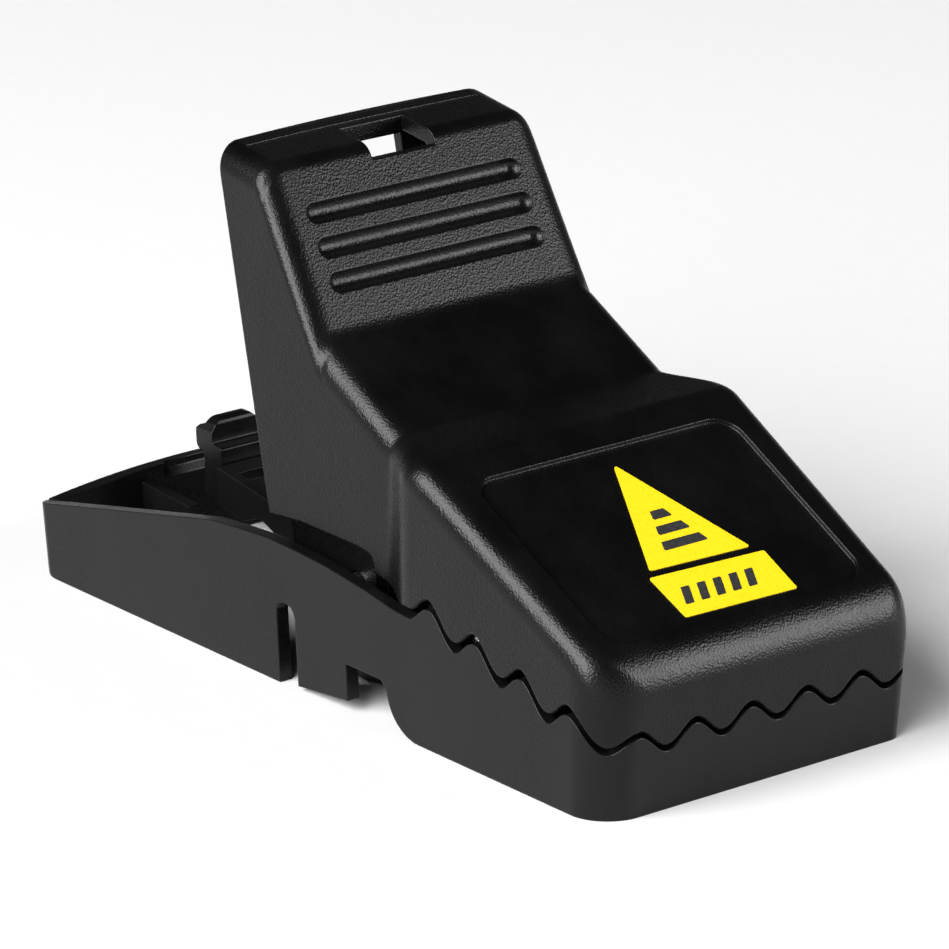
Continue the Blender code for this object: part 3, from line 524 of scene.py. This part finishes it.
def jaw_ring(station, inset, lower):
    """One closed section of the jaw; inset draws it inwards, lower extends its foot."""
    (top_x, top_z), (nx, nz), foot = station
    top = Vector((top_x - nx * inset, top_z - nz * inset))
    if foot is None:
        low_z = max(4.5, 13.0 - 2.6 * (top_x - FLARE_START)) - lower
        flare = min(max((top_x - FLARE_START) / (FLARE_END - FLARE_START), 0.0), 1.0)
        flare = flare * flare * (3 - 2 * flare)
        low = Vector((top.x - DRAFT * flare * (top.y - low_z), low_z))
    else:
        low = Vector(foot) + (Vector(foot) - top).normalized() * lower
        flare = 0.0
    up = (top - low).normalized()
    edge = JAW_EDGE - inset
    tall = edge / min(max(up.x * nx + up.y * nz, 0.62), 1.0)

    def half(spot, side):
        neck = neck_half(spot.y)
        wide = neck + (nose_half(spot.y) - neck) * flare - inset
        corner = max(FRONT_CORNERS[side] - inset, 0.5)
        into = (spot.x - DRAFT * spot.y) - (LENGTH - inset - corner)
        if foot is None and into > 0:
            wide -= corner - math.sqrt(max(corner ** 2 - min(into, corner) ** 2, 0.0))
        return wide

    bulge = 0.0
    if foot is not None and top_x < CREASE[0]:
        bulge = HEEL_BULGE * (CREASE[0] - top_x) / (CREASE[0] - HEEL_BACK[0])

    def half_ring(side):
        places = [(low, half(low, side))]
        for i in range(EDGE_STEPS + 1):
            a = math.radians(90 * i / EDGE_STEPS)
            spot = top - up * tall * (1 - math.sin(a))
            places.append((spot, half(spot, side) - edge * (1 - math.cos(a))))
        crown_half = places[-1][1]
        for i in range(1, ACROSS // 2):
            places.append((top, crown_half * (1 - 2 * i / ACROSS)))
        return [(spot, side * y) for spot, y in places]

    ring = []
    for spot, y in half_ring(-1) + [(top, 0.0)] + half_ring(1)[::-1]:
        reach = 0.0
        if spot is not low:
            reach = bulge * (1 - (y / half(top, 1)) ** 2)
        ring.append(point(spot.x - reach, y, spot.y))
    return ring


def on_face(origin, foot, across, along, out):
    """A place on a sloping face: across it (y), down it and out from it, in mm."""
    run = Vector((foot[0] - origin[0], foot[1] - origin[1])).normalized()
    x = origin[0] + run.x * along - run.y * out
    z = origin[1] + run.y * along + run.x * out
    return point(x, across, z)


def rounded_rectangle(left, right, upper, lower, radius):
    """A closed outline with four round corners."""
    outline = []
    for cx, cy, start in ((right - radius, lower - radius, 0), (left + radius, lower - radius, 90),
                          (left + radius, upper + radius, 180),
                          (right - radius, upper + radius, 270)):
        outline += arc(cx, cy, radius, start, start + 90, 16)
    return outline


def skirt_outline():
    """What the neck's outer walls leave free, so that they stay above the base's walls."""
    top = [(36.0, 18.3), (41.0, 18.3), (46.7, SKIRT_HEIGHT), (57.0, SKIRT_HEIGHT)]
    return top + arc(58.0, 17.0, 1.9, 80, 0, 4)[1:] + [(LIP_START, 14.0), (LIP_START, -5), (36.0, -5)]


def lug_outline():
    """Side view of the plates that carry the jaw on its pin."""
    foot = rounded([(43.4, 13.0), (46.8, 7.0, 3.0), (54.0, 5.4, 8.0), (59.4, 8.0, 2.0),
                    (59.7, 13.0)], 4)
    return [(40.7, 24.0)] + foot + [(59.7, 24.0)]


def back_lip():
    """A ledge under the heel's back edge, open in the middle for the latch hook."""
    rings = []
    for z, x in ((51.5, 33.13), (57.6, 31.75)):
        front, back = [], []
        for i in range(41):
            y = -17.0 + 34.0 * i / 40
            bow = HEEL_BULGE * (1 - (y / 19.0) ** 2)
            back.append(point(x - bow + 0.15, y, z))
            front.append(point(x - bow + 1.5, y, z))
        rings.append(back + front[::-1])
    lip = loft("add_back_lip", rings)
    cut(lip, block("cut_hook_way", (28, -5.25, 50), (38, 5.25, 55.3)))
    return lip


def groove_tool(name, along):
    """A round-nosed cutter that lies across the pad."""
    rings = []
    end = GROOVE_HALF - GROOVE_RADIUS
    places = [(-end - GROOVE_RADIUS * math.cos(math.radians(a)), math.sin(math.radians(a)))
              for a in (4, 20, 40, 60, 78)]
    places += [(-end, 1.0), (end, 1.0)]
    places += [(-y, share) for y, share in reversed(places[:5])]
    for across, share in places:
        ring = []
        for k in range(36):
            a = math.radians(10 * k)
            ring.append(on_face(CREASE, PAD_FOOT, across,
                                along + GROOVE_RADIUS * share * math.cos(a),
                                GROOVE_RISE + GROOVE_RADIUS * share * math.sin(a)))
        rings.append(ring)
    return loft(name, rings)


def panel_tool():
    """Sinks the label panel, with a little draft on its wall."""
    rings = []
    for out, grow in ((-PANEL_DEPTH, 0.0), (2.0, 0.4)):
        outline = rounded_rectangle(-PANEL_HALF - grow, PANEL_HALF + grow, PANEL_TOP - grow,
                                    PANEL_FOOT + grow, 3.0 + grow)
        rings.append([on_face(LABEL_TOP, LABEL_FOOT, across, along, out)
                      for across, along in outline])
    return loft("cut_label_panel", rings)


def build_jaw():
    """The jaw moulding: a hollow shell from heel to toothed lip."""
    stations = jaw_stations()
    jaw = loft("jaw_moulding", [jaw_ring(s, 0.0, 0.0) for s in stations])
    inner = [jaw_ring(s, JAW_WALL, 6.0) for s in stations]
    behind = [p + Vector((-9.0 * MM, 0, 0)) for p in inner[0]]
    cut(jaw, loft("cut_jaw_inside", [behind] + inner))
    for side in (-1, 1):
        low, high = sorted((side * LUG_IN, side * (LUG_OUT + 0.7)))
        join(jaw, side_plate(f"add_lug_{low:.0f}", lug_outline(), low, high))
        low, high = sorted((side * LUG_OUT, side * 30))
        cut(jaw, side_plate(f"cut_skirt_{low:.0f}", skirt_outline(), low, high))
    join(jaw, back_lip())
    cut(jaw, tooth_band("cut_below_teeth", TOOTH_GAP, FRONT_GAP, -6.0, LIP_CHAMFER))
    cut(jaw, cross_rod("cut_jaw_bore", PIVOT_X, PIVOT_Z, PIN_RADIUS + FIT, -30, 30))

    for row, along in enumerate(GROOVES):
        cut(jaw, groove_tool(f"cut_groove_{row}", along))
    cut(jaw, panel_tool())
    cut(jaw, side_plate("cut_latch_slot", LATCH_SLOT, *LATCH_SLOT_SIDES))
    line = [(HEEL_LINE - HEEL_BULGE * (1 - (y / 18.0) ** 2) * 0.6, y) for y in range(-16, 17)]
    line += [(x + 0.45, y) for x, y in reversed(line)]
    cut(jaw, level_plate("cut_heel_line", line, 57.35, 62.0))
    return jaw


# ---------------------------------------------------------------- label
def on_panel(across, along, out):
    """A place on the sloping face that carries the label."""
    return on_face(LABEL_TOP, LABEL_FOOT, across, along, out)


def soft_outline(corners, radius, steps=8):
    """A closed outline with every corner rounded."""
    out = []
    count = len(corners)
    for k in range(count):
        trio = [corners[k - 1], (*corners[k], radius), corners[(k + 1) % count]]
        out += rounded(trio, steps)[1:-1]
    return out


def print_plate(name, outlines, low, high, ink, slot, *nodes):
    """Thin printed film on the label panel, from (across, down) outlines."""
    bm = bmesh.new()
    for outline in outlines:
        lower = [bm.verts.new(on_panel(across, along, low)) for across, along in outline]
        upper = [bm.verts.new(on_panel(across, along, high)) for across, along in outline]
        count = len(outline)
        bm.faces.new(lower)
        bm.faces.new(upper)
        for i in range(count):
            j = (i + 1) % count
            bm.faces.new((lower[i], lower[j], upper[j], upper[i]))
    made = finish(name, bm)
    made.data.materials.append(ink)
    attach(made, "jaw")
    if nodes:
        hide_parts(*nodes)


def build_label():
    """A triangle and a strip of yellow film, with generic bars printed on them."""
    sunk = -PANEL_DEPTH
    triangle = soft_outline(TRIANGLE, 0.25)
    strip = soft_outline(STRIP, 0.25)
    print_plate("label_triangle_film", [triangle], sunk + 0.005, sunk + 0.10,
                label_ink, "label_yellow", "label_triangle")
    print_plate("label_strip_film", [strip], sunk + 0.005, sunk + 0.10,
                label_ink, "label_yellow", "label_strip")
    middle = Vector((0.6, 17.2))
    marks = []
    for half, along in ((0.9, -3.6), (1.75, -1.4), (2.6, 0.8)):      # widening down the triangle
        bar = [(middle.x - half, middle.y + along), (middle.x + half, middle.y + along),
               (middle.x + half + 0.45, middle.y + along + 1.25),
               (middle.x - half - 0.45, middle.y + along + 1.25)]
        marks.append(soft_outline(bar, 0.2, 5))
    for k in range(5):
        left = -4.2 + 2.2 * k
        bar = [(left, 24.5), (left + 1.15, 24.5), (left + 0.15, 26.9), (left - 1.0, 26.9)]
        marks.append(soft_outline(bar, 0.12, 4))
    print_plate("label_marks", marks, sunk + 0.10, sunk + 0.125, mark_ink, "jaw_black")


# ---------------------------------------------------------------- springs
def coil_point(angle, y):
    """A place on a jaw spring's coil."""
    a = math.radians(angle)
    return point(PIVOT_X + COIL_RADIUS * math.cos(a), y, PIVOT_Z + COIL_RADIUS * math.sin(a))


def tube(name, route, radius):
    """A round wire along a route, with domed ends."""
    count, facets = len(route), 14
    rings = []
    side = None
    for i, place in enumerate(route):
        run = (route[min(i + 1, count - 1)] - route[max(i - 1, 0)]).normalized()
        if side is None:
            side = run.orthogonal().normalized()
        side = (side - run * side.dot(run)).normalized()
        up = run.cross(side)
        turn = [math.radians(360 * k / facets) for k in range(facets)]

        def ring(share, ahead):
            middle = place + run * ahead * radius * MM
            return [middle + (side * math.cos(a) + up * math.sin(a)) * radius * share * MM
                    for a in turn]

        if i == 0:
            rings += [ring(0.35, -0.4), ring(0.8, -0.25)]
        rings.append(ring(1.0, 0.0))
        if i == count - 1:
            rings += [ring(0.8, 0.25), ring(0.35, 0.4)]
    made = loft(name, rings)
    made.data.shade_smooth()
    return made


def build_jaw_spring(label, side):
    """One wire: a straight leg on the floor, a coil round the hinge and a second straight leg."""
    start, stop = 60.0, 360.0 * 4 + 21.6
    outer, inner = side * 11.7, side * 5.3
    steps = 240
    coil = [coil_point(start + (stop - start) * i / steps, outer + (inner - outer) * i / steps)
            for i in range(steps + 1)]
    a = math.radians(start)
    down = Vector((math.sin(a), 0, -math.cos(a))) * MM
    leg = [coil[0] + down * FLOOR_LEG * k / 12 for k in range(12, 0, -1)]
    a = math.radians(stop)
    up = Vector((-math.sin(a), 0, math.cos(a))) * MM
    tip = [coil[-1] + up * JAW_LEG * k / 12 for k in range(1, 13)]
    made = tube(f"jaw_spring_{label}_wire", leg + coil + tip, SPRING_WIRE)
    made.data.materials.append(spring_wire)
    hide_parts(f"jaw_spring_{label}", f"jaw_spring_{label}_arm")
    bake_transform(made)


# ---------------------------------------------------------------- materials
PLASTIC_GLOSS = 0.20        # specular level of the black mouldings


class Look:
    """A Principled material and short ways to add nodes to it."""

    def __init__(self, name, color, roughness, metallic=0.0):
        self.material = bpy.data.materials.new(name)
        self.material.use_nodes = True
        self.tree = self.material.node_tree
        self.shader = self.tree.nodes["Principled BSDF"]
        self.shader.inputs["Base Color"].default_value = (*color, 1.0)
        self.shader.inputs["Roughness"].default_value = roughness
        self.shader.inputs["Metallic"].default_value = metallic
        self.place = self.node("ShaderNodeTexCoord").outputs["Object"]

    def node(self, kind, **values):
        made = self.tree.nodes.new(kind)
        for key, value in values.items():
            made.inputs[key.replace("_", " ")].default_value = value
        return made

    def link(self, out, into):
        self.tree.links.new(out, into)

    def noise(self, size, detail=2.0, roughness=0.5, stretch=None):
        """Noise whose lumps are about size mm."""
        made = self.node("ShaderNodeTexNoise", Scale=1.0 / (size * MM), Detail=detail,
                         Roughness=roughness)
        source = self.place
        if stretch:
            mapping = self.node("ShaderNodeMapping", Scale=stretch)
            self.link(self.place, mapping.inputs["Vector"])
            source = mapping.outputs["Vector"]
        self.link(source, made.inputs["Vector"])
        return made.outputs["Fac"]

    def grain(self, size):
        """Cells of about size mm: low in their middles, high at their seams."""
        made = self.node("ShaderNodeTexVoronoi", Scale=1.0 / (size * MM), Randomness=1.0)
        self.link(self.place, made.inputs["Vector"])
        return made.outputs["Distance"]

    def remap(self, value, low, high, to_low, to_high):
        made = self.node("ShaderNodeMapRange", From_Min=low, From_Max=high, To_Min=to_low,
                         To_Max=to_high)
        self.link(value, made.inputs["Value"])
        return made.outputs["Result"]

    def math(self, operation, first, second):
        made = self.node("ShaderNodeMath")
        made.operation = operation
        for slot, value in zip(made.inputs, (first, second)):
            if isinstance(value, (int, float)):
                slot.default_value = value
            else:
                self.link(value, slot)
        return made.outputs["Value"]

    def mix(self, share, dark, light):
        made = self.node("ShaderNodeMix")
        made.data_type = "RGBA"
        made.inputs["A"].default_value = (*dark, 1.0)
        made.inputs["B"].default_value = (*light, 1.0)
        self.link(share, made.inputs["Factor"])
        return made.outputs["Result"]

    def soften(self, radius, height, depth):
        """Round edges by radius and add bumps of depth, both in mm."""
        bump = self.node("ShaderNodeBump", Strength=1.0, Distance=depth * MM)
        self.link(height, bump.inputs["Height"])
        if radius:
            edge = self.node("ShaderNodeBevel", Radius=radius * MM)
            edge.samples = 8
            self.link(edge.outputs["Normal"], bump.inputs["Normal"])
        self.link(bump.outputs["Normal"], self.shader.inputs["Normal"])


def moulded(name, dark, light, roughness, grain, depth, edge, spread=0.08):
    """Black moulded plastic: a fine spark-eroded grain and faint flow marks."""
    look = Look(name, dark, roughness)
    look.shader.inputs["Specular IOR Level"].default_value = PLASTIC_GLOSS
    pebbles = look.grain(grain)
    fine = look.noise(grain * 0.6, 3.0)
    flow = look.noise(9.0, 3.0, 0.6, (1.0, 1.0, 0.35))
    height = look.math("ADD", pebbles, look.math("MULTIPLY", fine, 0.8))
    look.link(look.mix(look.remap(flow, 0.35, 0.65, 0.0, 1.0), dark, light),
              look.shader.inputs["Base Color"])
    rough = look.math("ADD", look.remap(flow, 0.3, 0.7, roughness - spread * 0.4,
                                        roughness + spread * 0.4),
                      look.remap(fine, 0.3, 0.7, -spread * 0.5, spread * 0.5))
    look.link(rough, look.shader.inputs["Roughness"])
    look.soften(edge, height, depth)
    return look.material


def drawn_steel(name, dark, light, roughness, stretch):
    """Drawn wire or rod: fine lines along its length, dull oiled patches."""
    look = Look(name, light, roughness, 1.0)
    lines = look.noise(0.25, 4.0, 0.6, stretch)
    patches = look.noise(2.5, 3.0)
    look.link(look.mix(look.remap(patches, 0.35, 0.65, 0.0, 1.0), dark, light),
              look.shader.inputs["Base Color"])
    look.link(look.remap(lines, 0.3, 0.7, roughness - 0.08, roughness + 0.1),
              look.shader.inputs["Roughness"])
    look.soften(0.1, lines, 0.006)
    return look.material


def printed(name, dark, light, roughness):
    """Ink on film: a fine screen and slightly uneven cover."""
    look = Look(name, light, roughness)
    cover = look.noise(0.35, 4.0, 0.7)
    look.link(look.mix(look.remap(cover, 0.35, 0.6, 0.0, 1.0), dark, light),
              look.shader.inputs["Base Color"])
    look.link(look.remap(cover, 0.3, 0.7, roughness - 0.06, roughness + 0.06),
              look.shader.inputs["Roughness"])
    look.soften(0.0, cover, 0.004)
    return look.material


base_plastic = moulded("base_satin_plastic", (0.0022, 0.0022, 0.0023), (0.0032, 0.0032, 0.0033),
                       0.30, 0.30, 0.003, 0.25)
jaw_plastic = moulded("jaw_grained_plastic", (0.0016, 0.0016, 0.0017), (0.0026, 0.0026, 0.0027),
                      0.27, 0.28, 0.026, 0.28, 0.10)
lever_plastic = moulded("lever_plastic", (0.0018, 0.0018, 0.0019), (0.003, 0.003, 0.0031),
                        0.32, 0.5, 0.004, 0.15)
spool_plastic = moulded("spool_plastic", (0.018, 0.018, 0.019), (0.026, 0.026, 0.027),
                        0.45, 0.4, 0.006, 0.12)
cup_plastic = moulded("cup_plastic", (0.045, 0.045, 0.05), (0.06, 0.06, 0.065),
                      0.5, 0.4, 0.01, 0.2)
pin_steel = drawn_steel("pin_steel", (0.5, 0.5, 0.51), (0.66, 0.66, 0.67), 0.26, (4.0, 0.1, 4.0))
clip_steel = drawn_steel("clip_steel", (0.42, 0.42, 0.43), (0.58, 0.58, 0.6), 0.34,
                         (1.0, 4.0, 1.0))
spring_wire = drawn_steel("spring_wire", (0.30, 0.30, 0.31), (0.46, 0.46, 0.48), 0.32,
                          (1.0, 1.0, 1.0))
label_ink = printed("label_yellow_ink", (0.50, 0.37, 0.004), (0.57, 0.42, 0.006), 0.42)
mark_ink = printed("mark_black_ink", (0.012, 0.012, 0.012), (0.02, 0.02, 0.02), 0.45)

NODE_LOOKS = {
    "trigger_lever": lever_plastic, "latch_hook": lever_plastic, "bait_pedal": lever_plastic,
    "bait_cup": cup_plastic, "hinge_pin": pin_steel, "trigger_pin": pin_steel,
    "hinge_clip_right": clip_steel, "hinge_clip_left": clip_steel,
    "spring_spool_right": spool_plastic, "spring_spool_left": spool_plastic,
    "hinge_spacer": spool_plastic, "trigger_spring": spring_wire,
}
SOFT_EDGE = {"trigger_lever": 0.22, "latch_hook": 0.3, "bait_pedal": 0.2, "bait_cup": 0.15,
             "hinge_pin": 0.2, "trigger_pin": 0.2, "hinge_clip_right": 0.12,
             "hinge_clip_left": 0.12}


def dress_nodes():
    """Give the carried-over pieces their materials and soft edges."""
    for name, look in NODE_LOOKS.items():
        node = frame["nodes"][name]
        node.data.materials.clear()
        node.data.materials.append(look)
        if name in SOFT_EDGE:
            edge = node.modifiers.new("soft_edge", "BEVEL")
            edge.width = SOFT_EDGE[name] * MM
            edge.segments = 3
            edge.limit_method = "ANGLE"
            edge.angle_limit = math.radians(35)
            even = node.modifiers.new("even_normals", "WEIGHTED_NORMAL")
            even.keep_sharp = False


# ---------------------------------------------------------------- stage, light and camera
CAMERA_ANGLES = (51.283, 19.128)     # round from the trap's right side, and above the floor
CAMERA_TARGET = (53.245, -0.58, 21.953)
CAMERA_DISTANCE = 768.49
CAMERA_LENS = 265.54


def floor():
    """A wide sheet of pale paper under the trap."""
    bpy.ops.mesh.primitive_plane_add(size=6.0, location=(0, 0, 0))
    made = bpy.context.object
    made.name = "studio_floor"
    paper = Look("floor_paper", (0.51, 0.51, 0.51), 0.95)
    fibres = paper.noise(3.0, 4.0)
    paper.link(paper.mix(fibres, (0.50, 0.50, 0.50), (0.52, 0.52, 0.52)),
               paper.shader.inputs["Base Color"])
    made.data.materials.append(paper.material)


def area(name, toward, distance, size, size_y, energy, roll=0.0):
    """A soft box seen from the trap in the direction toward."""
    light = bpy.data.lights.new(name, "AREA")
    light.shape = "RECTANGLE"
    light.size = size
    light.size_y = size_y
    light.energy = energy
    made = bpy.data.objects.new(name, light)
    bpy.context.scene.collection.objects.link(made)
    ray = Vector(toward).normalized()
    made.location = ray * distance + Vector((0, 0, 0.03))
    made.rotation_mode = "QUATERNION"
    turn = ray.to_track_quat("Z", "Y")
    made.rotation_quaternion = turn @ Matrix.Rotation(math.radians(roll), 3, "Z").to_quaternion()
    return made


def world():
    """A bright horizon on the trap's right side, darker on its left and overhead."""
    made = bpy.data.worlds.new("studio")
    bpy.context.scene.world = made
    made.use_nodes = True
    tree = made.node_tree
    back = tree.nodes["Background"]
    back.inputs["Strength"].default_value = 1.0
    place = tree.nodes.new("ShaderNodeTexCoord")
    split = tree.nodes.new("ShaderNodeSeparateXYZ")
    tree.links.new(place.outputs["Generated"], split.inputs["Vector"])
    shares = []
    for axis, start, end, low, high in (("Z", 0.02, 0.45, 1.0, 0.0), ("Y", -0.6, 0.2, 1.0, 0.25)):
        ramp = tree.nodes.new("ShaderNodeMapRange")
        for socket, value in (("From Min", start), ("From Max", end), ("To Min", low),
                              ("To Max", high)):
            ramp.inputs[socket].default_value = value
        tree.links.new(split.outputs[axis], ramp.inputs["Value"])
        shares.append(ramp.outputs["Result"])
    both = tree.nodes.new("ShaderNodeMath")
    both.operation = "MULTIPLY"
    for socket, share in zip(both.inputs, shares):
        tree.links.new(share, socket)
    tree.links.new(both.outputs["Value"], back.inputs["Color"])


def photo_camera():
    """A long lens that looks at the trap from its right front."""
    azimuth, elevation = (math.radians(angle) for angle in CAMERA_ANGLES)
    back = Vector((math.sin(azimuth) * math.cos(elevation),
                   -math.cos(azimuth) * math.cos(elevation), math.sin(elevation)))
    data = bpy.data.cameras.new("camera")
    data.sensor_width = 36.0
    data.lens = CAMERA_LENS
    data.clip_start = 0.01
    data.clip_end = 50.0
    camera = bpy.data.objects.new("camera", data)
    bpy.context.scene.collection.objects.link(camera)
    camera.location = point(*CAMERA_TARGET) + back * CAMERA_DISTANCE * MM
    camera.rotation_mode = "QUATERNION"
    camera.rotation_quaternion = back.to_track_quat("Z", "Y")
    bpy.context.scene.camera = camera


base_piece = build_base()
settle(base_piece, "base", "base_shell")
base_piece.data.materials.clear()
base_piece.data.materials.append(base_plastic)
jaw_piece = build_jaw()
settle(jaw_piece, "jaw", "upper_jaw")
jaw_piece.data.materials.clear()
jaw_piece.data.materials.append(jaw_plastic)
build_label()
for side_name, side_sign in (("right", -1), ("left", 1)):
    build_jaw_spring(side_name, side_sign)
dress_nodes()

photo_camera()
floor()
world()
area("edge_light", (0.10, -0.80, 0.54), 2.0, 2.5, 1.44, 172.0, -33.0)
area("nose_light", (0.70, 0.62, 0.26), 1.0, 0.44, 0.54, 9.0)
bpy.context.scene.view_settings.view_transform = "Standard"
